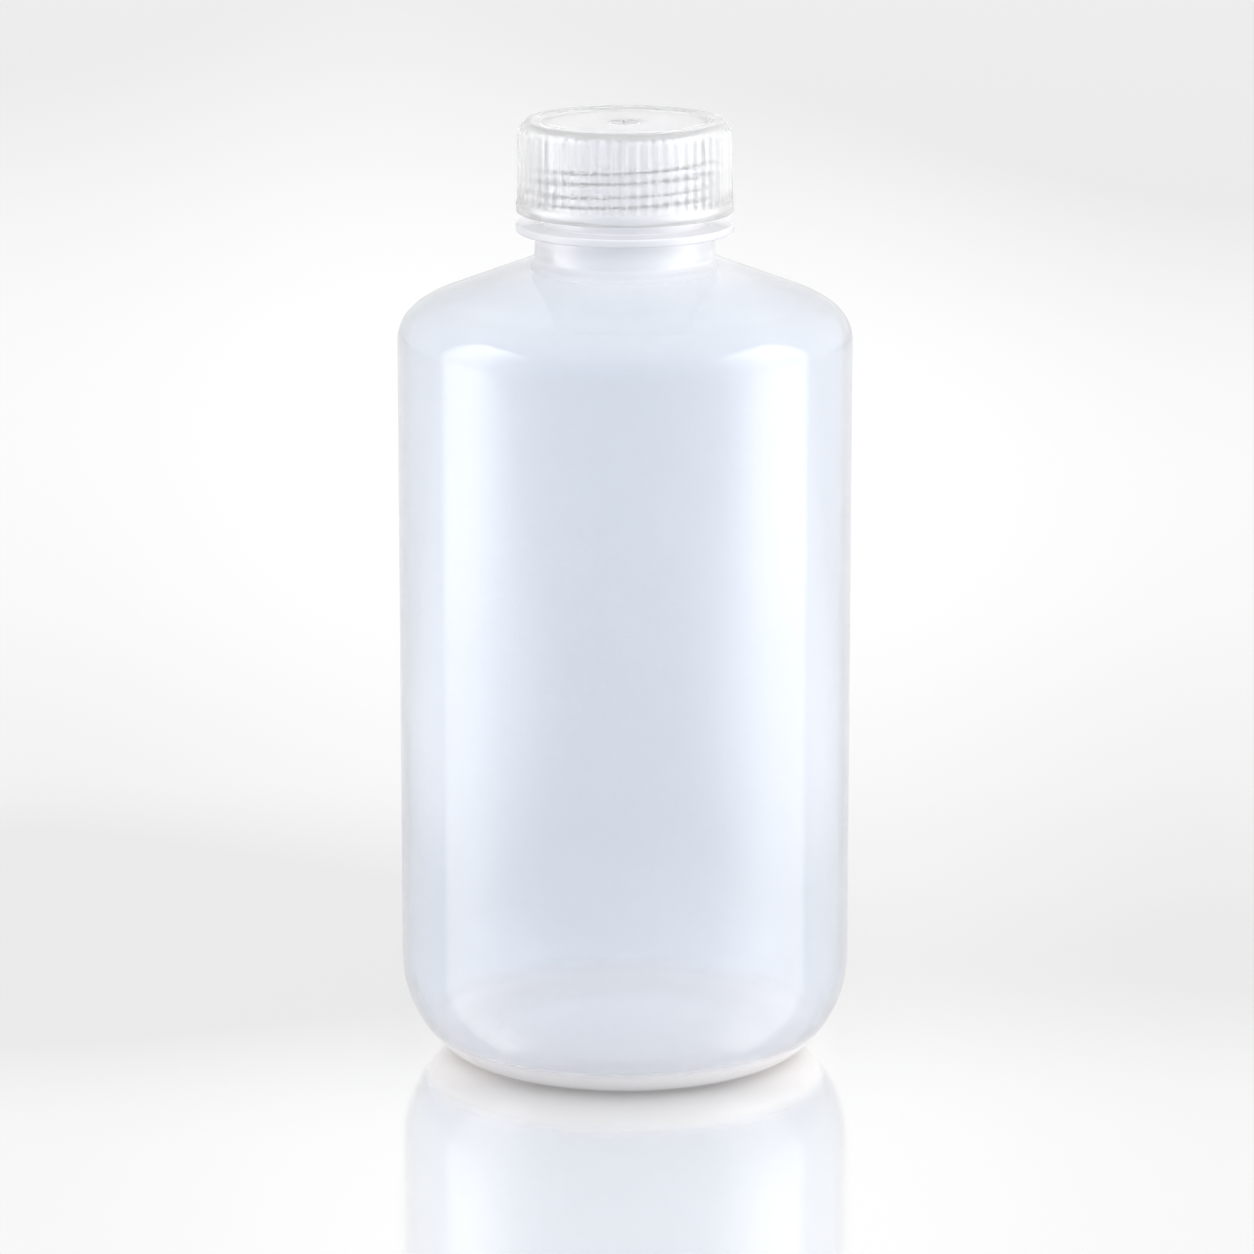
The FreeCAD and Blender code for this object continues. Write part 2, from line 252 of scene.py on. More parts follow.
class PlasticLooks(bpy.types.PropertyGroup):
    """Colours and gloss of the two plastics."""

    bottle_colour: colour("Bottle", (0.79, 0.815, 0.86), "Natural polyethylene in white light")
    bottle_clear: share("Bottle clearness", 0.84, "Light that passes the wall unscattered")
    thick_colour: colour("Thick parts", (0.99, 0.965, 0.965), "Base and neck, where the plastic is thick")
    thick_clear: share("Clearness of thick parts", 0.2, "Light that passes them unscattered")
    neck_share: share("Neck thickness", 0.45, "How far the neck looks like the base")
    bottle_rough: share("Bottle roughness", 0.13, "Satin of the blown surface")
    cap_colour: colour("Cap", (0.94, 0.945, 0.955), "Natural polypropylene in white light")
    cap_clear: share("Cap clearness", 0.76, "Light that passes the cap unscattered")
    cap_rough: share("Cap roughness", 0.08, "Satin of the moulded surface")
    lamp_pass: share("Lamp light passed", 0.94, "Lamp light that passes each face of a wall")
    thick_pass: share("Light passed by thick parts", 0.6, "Lamp light that passes each face of them")
    cap_scatter: length("Cap scatter", 0.5, "How far light spreads in the cap")
    peel_size: length("Peel size", 0.6, "Size of the fine unevenness of the surface")
    peel_height: length("Peel height", 0.006, "Height of that unevenness")


class StageLooks(bpy.types.PropertyGroup):
    """Camera, lamps and floor."""

    camera_side: length("Camera side", 0.274, "Camera to the right of the axis")
    camera_back: length("Camera distance", 790.83, "Camera in front of the axis")
    camera_height: length("Camera height", 245.80, "Camera over the floor")
    camera_pitch: angle("Camera pitch", 13.293, "How far the camera looks down")
    camera_lens: FloatProperty(
        name="Focal length", description="On a 36 mm sensor, in millimetres", default=172.04
    )
    lamp_distance: length("Lamp distance", 280.0, "Side lamps from the axis")
    lamp_back: length("Lamp back", 48.0, "Back edge of the side lamps behind the axis")
    left_width: length("Left lamp width", 240.0, "Width of the left lamp")
    right_width: length("Right lamp width", 320.0, "Width of the right lamp")
    lamp_height: length("Lamp height", 380.0, "Height of a side lamp")
    side_glow: FloatProperty(name="Side glow", description="Radiance of a side lamp", default=2.6)
    room_front: colour("Room in front", (0.42, 0.50, 0.62), "Soft light from the front")
    room_fill: colour("Fill", (1.0, 0.985, 0.96), "What scattering surfaces get from the room")
    front_fill: colour("Fill in front", (0.84, 0.955, 1.0), "The same from the front")
    room_top: colour("Room above", (0.9, 0.9, 0.92), "Soft light from above")
    room_back: colour("Room behind", (0.93, 0.93, 0.93), "Soft light from the sides and the back")
    floor_colour: colour("Floor", (0.36, 0.36, 0.365), "Glossy floor")
    floor_mirror: share("Floor mirror", 0.6, "Mirror share of the floor")
    floor_rough: share("Floor roughness", 0.1, "Blur of the reflection in the floor")


# Mesh helpers. A profile is a list of (radius, height), and runs so that the solid lies on
# its left when the axis is on the left and up is up.

def stretch(start, end, steps):
    """Points of a straight stretch after its start, up to its end."""
    return [
        (
            start[0] + (end[0] - start[0]) * step / steps,
            start[1] + (end[1] - start[1]) * step / steps,
        )
        for step in range(1, steps + 1)
    ]


def arc(centre, radius, first, last, steps):
    """Points of an arc, both ends included. Angles are from level, upwards."""
    return [
        (
            centre[0] + radius * math.cos(first + (last - first) * step / steps),
            centre[1] + radius * math.sin(first + (last - first) * step / steps),
        )
        for step in range(steps + 1)
    ]


def ease(start, end, steps):
    """Points of a soft step from start to end along the radius, start left out."""
    points = []
    for step in range(1, steps + 1):
        part = step / steps
        rise = part * part * (3 - 2 * part)
        points.append((start[0] + (end[0] - start[0]) * part, start[1] + (end[1] - start[1]) * rise))
    return points


def even_columns(count):
    """Angles of evenly spread columns."""
    return [FULL_TURN * index / count for index in range(count)]


def add_ring(mesh, radius, height, columns):
    """One ring of vertices, or a single one on the axis."""
    if radius < CLOSE:
        return [mesh.verts.new((0.0, 0.0, height))]
    return [
        mesh.verts.new((radius * math.cos(turn), radius * math.sin(turn), height))
        for turn in columns
    ]


def join_rings(mesh, lower, upper, closed=True):
    """Faces between two rings that follow each other on a profile."""
    count = max(len(lower), len(upper))
    for index in range(count if closed else count - 1):
        after = (index + 1) % count
        if len(lower) == 1:
            mesh.faces.new((lower[0], upper[after], upper[index]))
        elif len(upper) == 1:
            mesh.faces.new((lower[index], lower[after], upper[0]))
        else:
            mesh.faces.new((lower[index], lower[after], upper[after], upper[index]))


def add_turned(mesh, profile, columns):
    """A turned surface that follows a profile round the axis."""
    rings = [add_ring(mesh, radius, height, columns) for radius, height in profile]
    for lower, upper in zip(rings, rings[1:]):
        join_rings(mesh, lower, upper)
    return rings


def new_piece(name, mesh):
    """An object made from an edit mesh, in the scene."""
    data = bpy.data.meshes.new(name)
    mesh.to_mesh(data)
    mesh.free()
    piece = bpy.data.objects.new(name, data)
    bpy.context.scene.collection.objects.link(piece)
    return piece


def check_closed(piece):
    """Stop if a piece has a hole in it or is inside out."""
    mesh = bmesh.new()
    mesh.from_mesh(piece.data)
    open_edges = sum(1 for edge in mesh.edges if not edge.is_manifold)
    volume = mesh.calc_volume(signed=True)
    mesh.free()
    if open_edges or volume <= 0:
        raise RuntimeError(f"{piece.name}: {open_edges} open edges, volume {volume}")


# Node helpers

class Graph:
    """A node tree with short ways to add and join its nodes."""

    def __init__(self, tree):
        self.tree = tree

    def add(self, kind, inputs=None, **settings):
        """A new node with its settings and its inputs."""
        node = self.tree.nodes.new(kind)
        for key, value in settings.items():
            setattr(node, key, value)
        for key, value in (inputs or {}).items():
            self.feed(node.inputs[key], value)
        return node

    def feed(self, socket, value):
        """Link a socket to an input, or set the input to a value."""
        if isinstance(value, bpy.types.NodeSocket):
            self.tree.links.new(value, socket)
        else:
            socket.default_value = value

    def math(self, operation, first, second=0.0):
        """The result of a sum on two numbers or sockets."""
        node = self.add("ShaderNodeMath", {0: first, 1: second}, operation=operation)
        return node.outputs[0]

    def fade(self, value, low, high, start, end):
        """Soft step from start at low to end at high."""
        node = self.add("ShaderNodeMapRange", interpolation_type="SMOOTHSTEP")
        for name, given in (
            ("Value", value),
            ("From Min", low),
            ("From Max", high),
            ("To Min", start),
            ("To Max", end),
        ):
            self.feed(node.inputs[name], given)
        return node.outputs[0]

    def blend(self, part, first, second):
        """A colour between two, which are colours or sockets."""
        node = self.add("ShaderNodeMix", data_type="RGBA")
        self.feed(node.inputs["Factor"], part)
        for name, given in (("A", first), ("B", second)):
            is_socket = isinstance(given, bpy.types.NodeSocket)
            self.feed(node.inputs[name], given if is_socket else (*given, 1.0))
        return node.outputs["Result"]


def new_geometry_tree(name, sockets):
    """A Geometry Nodes tree with named inputs. Returns its graph and its input node."""
    tree = bpy.data.node_groups.new(name, "GeometryNodeTree")
    tree.interface.new_socket("Geometry", in_out="INPUT", socket_type="NodeSocketGeometry")
    for label, kind in sockets:
        tree.interface.new_socket(label, in_out="INPUT", socket_type=f"NodeSocket{kind}")
    tree.interface.new_socket("Geometry", in_out="OUTPUT", socket_type="NodeSocketGeometry")
    graph = Graph(tree)
    return graph, graph.add("NodeGroupInput").outputs


def end_tree(graph, geometry, material):
    """Real meshes, smooth faces and the material at the end of a tree."""
    real = graph.add("GeometryNodeRealizeInstances", {"Geometry": geometry})
    merged = graph.add("GeometryNodeMergeByDistance", {"Geometry": real.outputs[0], "Distance": CLOSE})
    smooth = graph.add("GeometryNodeSetShadeSmooth", {"Geometry": merged.outputs[0]})
    painted = graph.add(
        "GeometryNodeSetMaterial", {"Geometry": smooth.outputs[0], "Material": material}
    )
    graph.add("NodeGroupOutput", {"Geometry": painted.outputs[0]})


def settle(piece, tree, values):
    """Run a tree on a piece and keep the result as its plain mesh."""
    modifier = piece.modifiers.new(tree.name, "NODES")
    modifier.node_group = tree
    for item in tree.interface.items_tree:
        if item.item_type == "SOCKET" and item.in_out == "INPUT" and item.name in values:
            modifier[item.identifier] = values[item.name]
    depsgraph = bpy.context.evaluated_depsgraph_get()
    data = bpy.data.meshes.new_from_object(
        piece.evaluated_get(depsgraph), preserve_all_data_layers=True, depsgraph=depsgraph
    )
    piece.modifiers.remove(modifier)
    old = piece.data
    piece.data = data
    data.name = piece.name
    bpy.data.meshes.remove(old)


def thread_tree():
    """Raise or sink a screw thread in the vertices whose thread_wall is 1."""
    graph, given = new_geometry_tree(
        "raised thread",
        (
            ("Start height", "Float"),
            ("Start angle", "Float"),
            ("Pitch", "Float"),
            ("Turns", "Float"),
            ("Depth", "Float"),
            ("Root width", "Float"),
            ("Crest width", "Float"),
            ("Run-out", "Float"),
            ("Material", "Material"),
        ),
    )
    place = graph.add("GeometryNodeInputPosition").outputs[0]
    parts = graph.add("ShaderNodeSeparateXYZ", {0: place}).outputs
    turn = graph.math("ARCTAN2", parts[1], parts[0])
    turn = graph.math("DIVIDE", graph.math("SUBTRACT", turn, given["Start angle"]), FULL_TURN)
    turn = graph.math("FRACT", turn)
    climb = graph.math("SUBTRACT", parts[2], given["Start height"])
    climb = graph.math("DIVIDE", climb, given["Pitch"])
    whole = graph.math("ROUND", graph.math("SUBTRACT", climb, turn))
    along = graph.math("ADD", turn, graph.math("MAXIMUM", whole, 0.0))
    off = graph.math("ABSOLUTE", graph.math("SUBTRACT", climb, along))
    off = graph.math("MULTIPLY", off, given["Pitch"])
    half_crest = graph.math("MULTIPLY", given["Crest width"], 0.5)
    half_root = graph.math("MULTIPLY", given["Root width"], 0.5)
    ridge = graph.fade(off, half_crest, half_root, 1.0, 0.0)
    left = graph.math("SUBTRACT", given["Turns"], along)
    ends = graph.fade(graph.math("MINIMUM", along, left), 0.0, given["Run-out"], 0.0, 1.0)
    wall = graph.add("GeometryNodeInputNamedAttribute", {"Name": "thread_wall"}, data_type="FLOAT")
    height = graph.math("MULTIPLY", graph.math("MULTIPLY", ridge, ends), given["Depth"])
    height = graph.math("MULTIPLY", height, wall.outputs["Attribute"])
    flat = graph.add("ShaderNodeCombineXYZ", {0: parts[0], 1: parts[1]}).outputs[0]
    outward = graph.add("ShaderNodeVectorMath", {0: flat}, operation="NORMALIZE").outputs[0]
    move = graph.add("ShaderNodeVectorMath", {0: outward, "Scale": height}, operation="SCALE")
    moved = graph.add(
        "GeometryNodeSetPosition", {"Geometry": given["Geometry"], "Offset": move.outputs[0]}
    )
    end_tree(graph, moved.outputs[0], given["Material"])
    return graph.tree


def ring_tree():
    """Repeat one sector evenly round the axis."""
    graph, given = new_geometry_tree("ring of flutes", (("Count", "Int"), ("Material", "Material")))
    step = graph.math("DIVIDE", FULL_TURN, given["Count"])
    index = graph.add("GeometryNodeInputIndex").outputs[0]
    turn = graph.math("MULTIPLY", index, step)
    spin = graph.add("ShaderNodeCombineXYZ", {2: turn}).outputs[0]
    points = graph.add("GeometryNodePoints", {"Count": given["Count"]})
    spread = graph.add(
        "GeometryNodeInstanceOnPoints",
        {"Points": points.outputs[0], "Instance": given["Geometry"], "Rotation": spin},
    )
    end_tree(graph, spread.outputs[0], given["Material"])
    return graph.tree


def mark_thread_wall(piece, radius, low, high):
    """Give each vertex of the plain wall that carries the thread a thread_wall of 1."""
    marks = piece.data.attributes.new("thread_wall", "FLOAT", "POINT")
    for vertex, mark in zip(piece.data.vertices, marks.data):
        reach = math.hypot(vertex.co.x, vertex.co.y)
        mark.value = float(abs(reach - radius) < CLOSE and low <= vertex.co.z <= high)


def cut_thread(piece, sizes, start_height, depth, material):
    """Run the thread tree on a piece."""
    settle(
        piece,
        thread_tree(),
        {
            "Start height": start_height,
            "Start angle": sizes.start_angle,
            "Pitch": sizes.pitch,
            "Turns": sizes.turns,
            "Depth": depth,
            "Root width": sizes.root_width,
            "Crest width": sizes.crest_width,
            "Run-out": sizes.run_out,
            "Material": material,
        },
    )
    piece.data.attributes.remove(piece.data.attributes["thread_wall"])


# Plastics

def thick_share(graph, height, neck_share):
    """How thick the plastic of the bottle is: 1 at the base, and neck_share at the neck."""
    low = graph.fade(height, *THICK_BASE, 1.0, 0.0)
    high = graph.fade(height, *THICK_NECK, 0.0, neck_share)
    return graph.math("MAXIMUM", low, high)


def plastic(name, tint, clear, rough, scatter, looks, thick_colour=None):
    """Milky plastic: satin gloss, a little clear and a little uneven.

    Where thick_colour is given, the base and the neck take that colour and are less clear.
    """
    material = bpy.data.materials.new(name)
    material.use_nodes = True
    material.node_tree.nodes.clear()
    graph = Graph(material.node_tree)
    place = graph.add("ShaderNodeTexCoord").outputs["Object"]
    cloud = graph.add("ShaderNodeTexNoise", {"Vector": place, "Scale": CLOUD_SCALE, "Detail": 3.0})
    cloud = cloud.outputs[0]
    paler = [min(1.0, part * CLOUD_PALER) for part in tint]
    tone = graph.blend(cloud, tint, paler)
    passed = (*[looks.lamp_pass] * 3, 1.0)
    if thick_colour:
        height = graph.add("ShaderNodeSeparateXYZ", {0: place}).outputs[2]
        thick = thick_share(graph, height, looks.neck_share)
        tone = graph.blend(thick, tone, thick_colour)
        clear = graph.fade(thick, 0.0, 1.0, clear, looks.thick_clear)
        passed = graph.fade(thick, 0.0, 1.0, looks.lamp_pass, looks.thick_pass)
    satin = graph.fade(cloud, *CLOUD_RANGE, *[rough * part for part in CLOUD_SATIN])
    peel = graph.add(
        "ShaderNodeTexNoise", {"Vector": place, "Scale": 1.0 / looks.peel_size, "Detail": 2.0}
    )
    bump = graph.add(
        "ShaderNodeBump",
        {"Height": peel.outputs[0], "Strength": 1.0, "Distance": looks.peel_height},
    )
    body = graph.add(
        "ShaderNodeBsdfPrincipled",
        {
            "Base Color": tone,
            "Roughness": satin,
            "IOR": PLASTIC_IOR,
            "Transmission Weight": clear,
            "Subsurface Weight": float(scatter > 0.0),
            "Subsurface Radius": WHITE,
            "Subsurface Scale": scatter,
            "Normal": bump.outputs[0],
        },
    )
    window = graph.add("ShaderNodeBsdfTransparent", {"Color": passed})
    lamp_ray = graph.add("ShaderNodeLightPath").outputs["Is Shadow Ray"]
    mix = graph.add("ShaderNodeMixShader", {0: lamp_ray, 1: body.outputs[0], 2: window.outputs[0]})
    graph.add("ShaderNodeOutputMaterial", {"Surface": mix.outputs[0]})
    return material


# Bottle

def bottle_levels(sizes):
    """Places that the sizes give, on the outside of the bottle."""
    radius = BOTTLE_HIGH.x
    foot, flank = sizes.foot_radius, sizes.flank_radius
    flank_centre = (radius - flank, foot + (flank - foot) * math.sin(sizes.flank_angle))
    foot_centre = (flank_centre[0] + (flank - foot) * math.cos(sizes.flank_angle), foot)
    corner_centre = (radius - sizes.corner_radius, sizes.wall_top)
    step = sizes.brow_radius - sizes.corner_radius
    brow_centre = (
        corner_centre[0] - step * math.cos(sizes.corner_angle),
        corner_centre[1] - step * math.sin(sizes.corner_angle),
    )
    return foot_centre, flank_centre, corner_centre, brow_centre


def blown_wall(sizes, inset):
    """The round wall from the standing ring to the end of the brow, set in by inset."""
    foot_centre, flank_centre, corner_centre, brow_centre = bottle_levels(sizes)
    low, high, top = -sizes.flank_angle, sizes.corner_angle, QUARTER_TURN - sizes.shoulder_angle
    rows = WALL_ROWS
    foot = arc(foot_centre, sizes.foot_radius - inset, -QUARTER_TURN, low, rows["foot"])
    flank = arc(flank_centre, sizes.flank_radius - inset, low, 0.0, rows["flank"])
    corner = arc(corner_centre, sizes.corner_radius - inset, 0.0, high, rows["corner"])
    brow = arc(brow_centre, sizes.brow_radius - inset, high, top, rows["brow"])
    wall = stretch(flank[-1], corner[0], rows["wall"])
    return foot + flank[1:] + wall + corner[1:] + brow[1:]


def bottle_profile(sizes):
    """Outside of the bottle from the base up, its inside from the lip down, and the ring's top."""
    foot_centre = bottle_levels(sizes)[0]
    rise_edge = foot_centre[0] - sizes.rim_width
    rise = sizes.base_rise
    lip = BOTTLE_HIGH.z
    outside = [(0.0, rise)]
    outside += stretch(outside[-1], (rise_edge - sizes.rise_width, rise), BASE_ROWS["middle"])
    outside += ease(outside[-1], (rise_edge, 0.0), BASE_ROWS["rise"])
    outside += stretch(outside[-1], (foot_centre[0], 0.0), BASE_ROWS["ring"])[:-1]
    outside += blown_wall(sizes, 0.0)
    flare = sizes.neck_radius + sizes.flare_reach
    brow_end = outside[-1]
    flare_height = brow_end[1] + (brow_end[0] - flare) * math.tan(sizes.shoulder_angle)
    neck_low = flare_height + sizes.flare_reach * math.tan(sizes.flare_angle)
    ring_low = neck_low + sizes.neck_height
    ring_high = ring_low + sizes.ring_thickness
    outside += stretch(brow_end, (flare, flare_height), NECK_ROWS["cone"])
    outside += stretch(outside[-1], (sizes.neck_radius, neck_low), NECK_ROWS["flare"])
    outside += neck_outside(sizes, ring_low, ring_high, lip)
    inside = neck_inside(sizes, ring_low, ring_high, lip)
    wall_inside = blown_wall(sizes, sizes.wall)[::-1]
    inside += stretch(inside[-1], wall_inside[0], NECK_ROWS["cone"])[:-1] + wall_inside
    floor = sizes.wall
    inside += stretch(inside[-1], (rise_edge, floor), BASE_ROWS["ring"])
    inside += ease(inside[-1], (rise_edge - sizes.rise_width, rise + floor), BASE_ROWS["rise"])
    inside += stretch(inside[-1], (0.0, rise + floor), BASE_ROWS["middle"])
    return outside, inside, ring_high


def neck_outside(sizes, ring_low, ring_high, lip):
    """Neck, ring and finish up to the outer edge of the lip."""
    quarter, rows = QUARTER_TURN, NECK_ROWS["edge"]
    neck, ring, finish = sizes.neck_radius, sizes.ring_radius, sizes.finish_radius
    fillet, edge, lip_edge = sizes.root_fillet, sizes.edge_rounding, sizes.lip_rounding
    points = arc((neck + fillet, ring_low - fillet), fillet, HALF_TURN, quarter, rows)
    points += arc((ring - edge, ring_low + edge), edge, -quarter, 0.0, rows)
    points += arc((ring - edge, ring_high - edge), edge, 0.0, quarter, rows)
    points += arc((finish + edge, ring_high + edge), edge, -quarter, -HALF_TURN, rows)
    points += stretch(points[-1], (finish, lip - lip_edge), NECK_ROWS["thread"])[:-1]
    points += arc((finish - lip_edge, lip - lip_edge), lip_edge, 0.0, quarter, NECK_ROWS["lip"])
    return points


def neck_inside(sizes, ring_low, ring_high, lip):
    """Mouth, its taper and the inside of the neck, from the lip down."""
    edge = sizes.lip_rounding
    mouth = sizes.mouth_radius
    neck = sizes.neck_radius - sizes.neck_wall
    rows = NECK_ROWS["inside"]
    points = arc((mouth + edge, lip - edge), edge, QUARTER_TURN, HALF_TURN, NECK_ROWS["lip"])
    points += stretch(points[-1], (mouth, ring_high), NECK_ROWS["mouth"])
    points += ease_down(points[-1], (neck, ring_low), rows)
    brow_centre = bottle_levels(sizes)[3]
    slope = math.tan(sizes.shoulder_angle)
    reach = sizes.brow_radius - sizes.wall
    brow = (
        brow_centre[0] + reach * math.sin(sizes.shoulder_angle),
        brow_centre[1] + reach * math.cos(sizes.shoulder_angle),
    )
    points += stretch(points[-1], (neck, brow[1] + (brow[0] - neck) * slope), rows)
    return points


def ease_down(start, end, steps):
    """Points of a soft step from start to end along the height, start left out."""
    flipped = ease((start[1], start[0]), (end[1], end[0]), steps)
    return [(across, height) for height, across in flipped]


class REAGENT_OT_make_bottle(bpy.types.Operator):
    """Make the blown bottle with its neck ring and thread"""

    bl_idname = "reagent.make_bottle"
    bl_label = "Make Bottle"

    def execute(self, context):
        sizes = context.scene.bottle_sizes
        thread = context.scene.thread_sizes
        looks = context.scene.plastic_looks
        material = plastic(
            "natural polyethylene",
            looks.bottle_colour,
            looks.bottle_clear,
            looks.bottle_rough,
            0.0,
            looks,
            looks.thick_colour,
        )
        outside, inside, ring_high = bottle_profile(sizes)
        mesh = bmesh.new()
        add_turned(mesh, outside + inside, even_columns(BOTTLE_COLUMNS))
        piece = new_piece("milky_bottle", mesh)
        lip = BOTTLE_HIGH.z
        mark_thread_wall(piece, sizes.finish_radius, ring_high, lip - sizes.lip_rounding)
        start = lip - thread.drop - thread.turns * thread.pitch
        cut_thread(piece, thread, start, thread.depth, material)
        check_closed(piece)
        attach(piece, "bottle")
        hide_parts("bottle")
        return {"FINISHED"}


# Cap

def flute_columns(sizes):
    """Where the columns of one flute stand, as parts of its pitch from crest to crest."""
    land = (1 - sizes.flute_share) / 2
    scoop = [land + sizes.flute_share * part for part in SCOOP_COLUMNS]
    return [0.0, land, *scoop, 1 - land]


def scoop_depth(sizes, part):
    """Depth of the scoop at a part of its pitch."""
    across = (part - 0.5) / (sizes.flute_share / 2)
    return sizes.flute_depth * max(0.0, 1 - across * across)


def cap_levels(sizes):
    """Top of the band, foot of the bevel, slope of the skirt, and radii at its top and the rim."""
    band_top = CAP_LOW.z + sizes.band_height
    bevel_low = CAP_HIGH.z - sizes.bevel_height
    slope = math.tan(sizes.skirt_draft)
    skirt_top = sizes.skirt_radius - (bevel_low - band_top) * slope
    return band_top, bevel_low, slope, skirt_top, skirt_top - sizes.bevel_width


def flute_sector(sizes):
    """One flute, with its band slope and its arched run-out, and where its bevel ends."""
    band_top, bevel_low, slope, skirt_top, top_radius = cap_levels(sizes)
    band_radius = CAP_HIGH.x
    pitch = FULL_TURN / sizes.flute_count
    bevel_lean = sizes.bevel_width / sizes.bevel_height
    bevel_end = CAP_HIGH.z - sizes.rounding * sizes.bevel_height / sizes.bevel_width / 2
    mesh = bmesh.new()
    columns = []
    for part in [*flute_columns(sizes), 1.0]:
        depth = scoop_depth(sizes, part)
        low_radius = sizes.skirt_radius - depth
        low = band_top + (band_radius - low_radius) * sizes.band_slope
        high = bevel_low + depth / (bevel_lean - slope)
        foot = (low_radius - (low - band_top) * slope, low)
        crest = (skirt_top + bevel_lean * (bevel_low - high), high)
        end = (top_radius + bevel_lean * (CAP_HIGH.z - bevel_end), bevel_end)
        line = [(band_radius, band_top)]
        line += stretch(line[-1], foot, SKIRT_ROWS["slope"])
        line += stretch(line[-1], crest, SKIRT_ROWS["scoop"])
        line += stretch(crest, end, SKIRT_ROWS["bevel"])
        turn = pitch * part
        columns.append([
            mesh.verts.new((reach * math.cos(turn), reach * math.sin(turn), height))
            for reach, height in line
        ])
    for left, right in zip(columns, columns[1:]):
        for index in range(len(left) - 1):
            mesh.faces.new((left[index], right[index], right[index + 1], left[index + 1]))
    return mesh, line[-1]


def cap_top(sizes, bevel_end):
    """Edge of the bevel, rim, recessed panel, dimple and gate stub, going inwards."""
    top = CAP_HIGH.z
    top_radius = cap_levels(sizes)[4]
    panel = top - sizes.rim_height
    panel_edge = top_radius - sizes.rim_band
    dimple = panel - sizes.dimple_depth
    gate_top = dimple + sizes.gate_height
    points = [bevel_end]
    gate, stub, rows = sizes.gate_radius, sizes.gate_height, TOP_ROWS
    points += ease_down(bevel_end, (top_radius - sizes.rounding / 2, top), rows["edge"])
    points += stretch(points[-1], (panel_edge, top), rows["rim"])
    points += ease(points[-1], (panel_edge - sizes.panel_slope, panel), rows["step"])
    points += stretch(points[-1], (sizes.dimple_radius, panel), rows["panel"])
    points += ease(points[-1], (sizes.dimple_radius - sizes.dimple_depth * 2, dimple), rows["step"])
    points += stretch(points[-1], (gate * GATE_FOOT, dimple), rows["short"])
    points += ease(points[-1], (gate, dimple + stub / 4), rows["gate"])
    points += stretch(points[-1], (gate * GATE_SHANK, gate_top - stub / 6), rows["short"])
    points += ease(points[-1], (gate * GATE_END, gate_top), rows["gate"])
    points += stretch(points[-1], (0.0, gate_top), rows["short"])
    return points


def cap_inside(sizes, bore, seat):
    """Seat, bore, entry and foot of the band, going outwards and down."""
    band_top = cap_levels(sizes)[0]
    low = CAP_LOW.z
    band = CAP_HIGH.x
    edge, rows = sizes.rounding, SKIRT_ROWS
    points = [(0.0, seat)]
    points += stretch(points[-1], (bore - edge, seat), TOP_ROWS["panel"])[:-1]
    points += arc((bore - edge, seat - edge), edge, QUARTER_TURN, 0.0, rows["corner"])
    points += stretch(points[-1], (bore, low + sizes.entry), rows["bore"])
    points += stretch(points[-1], (bore + sizes.entry, low), rows["foot"])
    points += stretch(points[-1], (band - edge, low), rows["slope"])[:-1]
    points += arc((band - edge, low + edge), edge, -QUARTER_TURN, 0.0, rows["corner"])
    points += stretch(points[-1], (band, band_top), rows["foot"])
    return points


class REAGENT_OT_make_cap(bpy.types.Operator):
    """Make the fluted screw cap with its inner thread"""

    bl_idname = "reagent.make_cap"
    bl_label = "Make Cap"

    def execute(self, context):
        sizes = context.scene.cap_sizes
        thread = context.scene.thread_sizes
        finish = context.scene.bottle_sizes.finish_radius
        looks = context.scene.plastic_looks
        material = plastic(
            "natural polypropylene",
            looks.cap_colour,
            looks.cap_clear,
            looks.cap_rough,
            looks.cap_scatter,
            looks,
        )
        bore = finish + thread.depth + thread.clearance
        seat = BOTTLE_HIGH.z + sizes.seat_gap
        sector, bevel_end = flute_sector(sizes)
        flutes = new_piece("cap_flutes", sector)
        settle(flutes, ring_tree(), {"Count": sizes.flute_count, "Material": material})
        pitch = FULL_TURN / sizes.flute_count
        columns = [
            pitch * (index + part)
            for index in range(sizes.flute_count)
            for part in flute_columns(sizes)
        ]
        mesh = bmesh.new()
        mesh.from_mesh(flutes.data)
        bpy.data.objects.remove(flutes)
        add_turned(mesh, cap_inside(sizes, bore, seat), columns)
        add_turned(mesh, cap_top(sizes, bevel_end), columns)
        bmesh.ops.remove_doubles(mesh, verts=mesh.verts, dist=CLOSE)
        piece = new_piece("fluted_cap", mesh)
        mark_thread_wall(piece, bore, CAP_LOW.z + sizes.entry, seat - sizes.rounding)
        start = BOTTLE_HIGH.z - thread.drop - (thread.turns + 0.5) * thread.pitch
        cut_thread(piece, thread, start, -thread.depth, material)
        check_closed(piece)
        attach(piece, "cap")
        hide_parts("cap")
        return {"FINISHED"}


# Stage

def add_camera(looks):
    """The photo's point of view."""
    data = bpy.data.cameras.new("camera")
    data.sensor_width = SENSOR_WIDTH
    data.lens = looks.camera_lens
    camera = bpy.data.objects.new("camera", data)
    camera.location = (looks.camera_side, -looks.camera_back, looks.camera_height)
    camera.rotation_euler = (QUARTER_TURN - looks.camera_pitch, 0.0, 0.0)
    bpy.context.scene.collection.objects.link(camera)
    bpy.context.scene.camera = camera


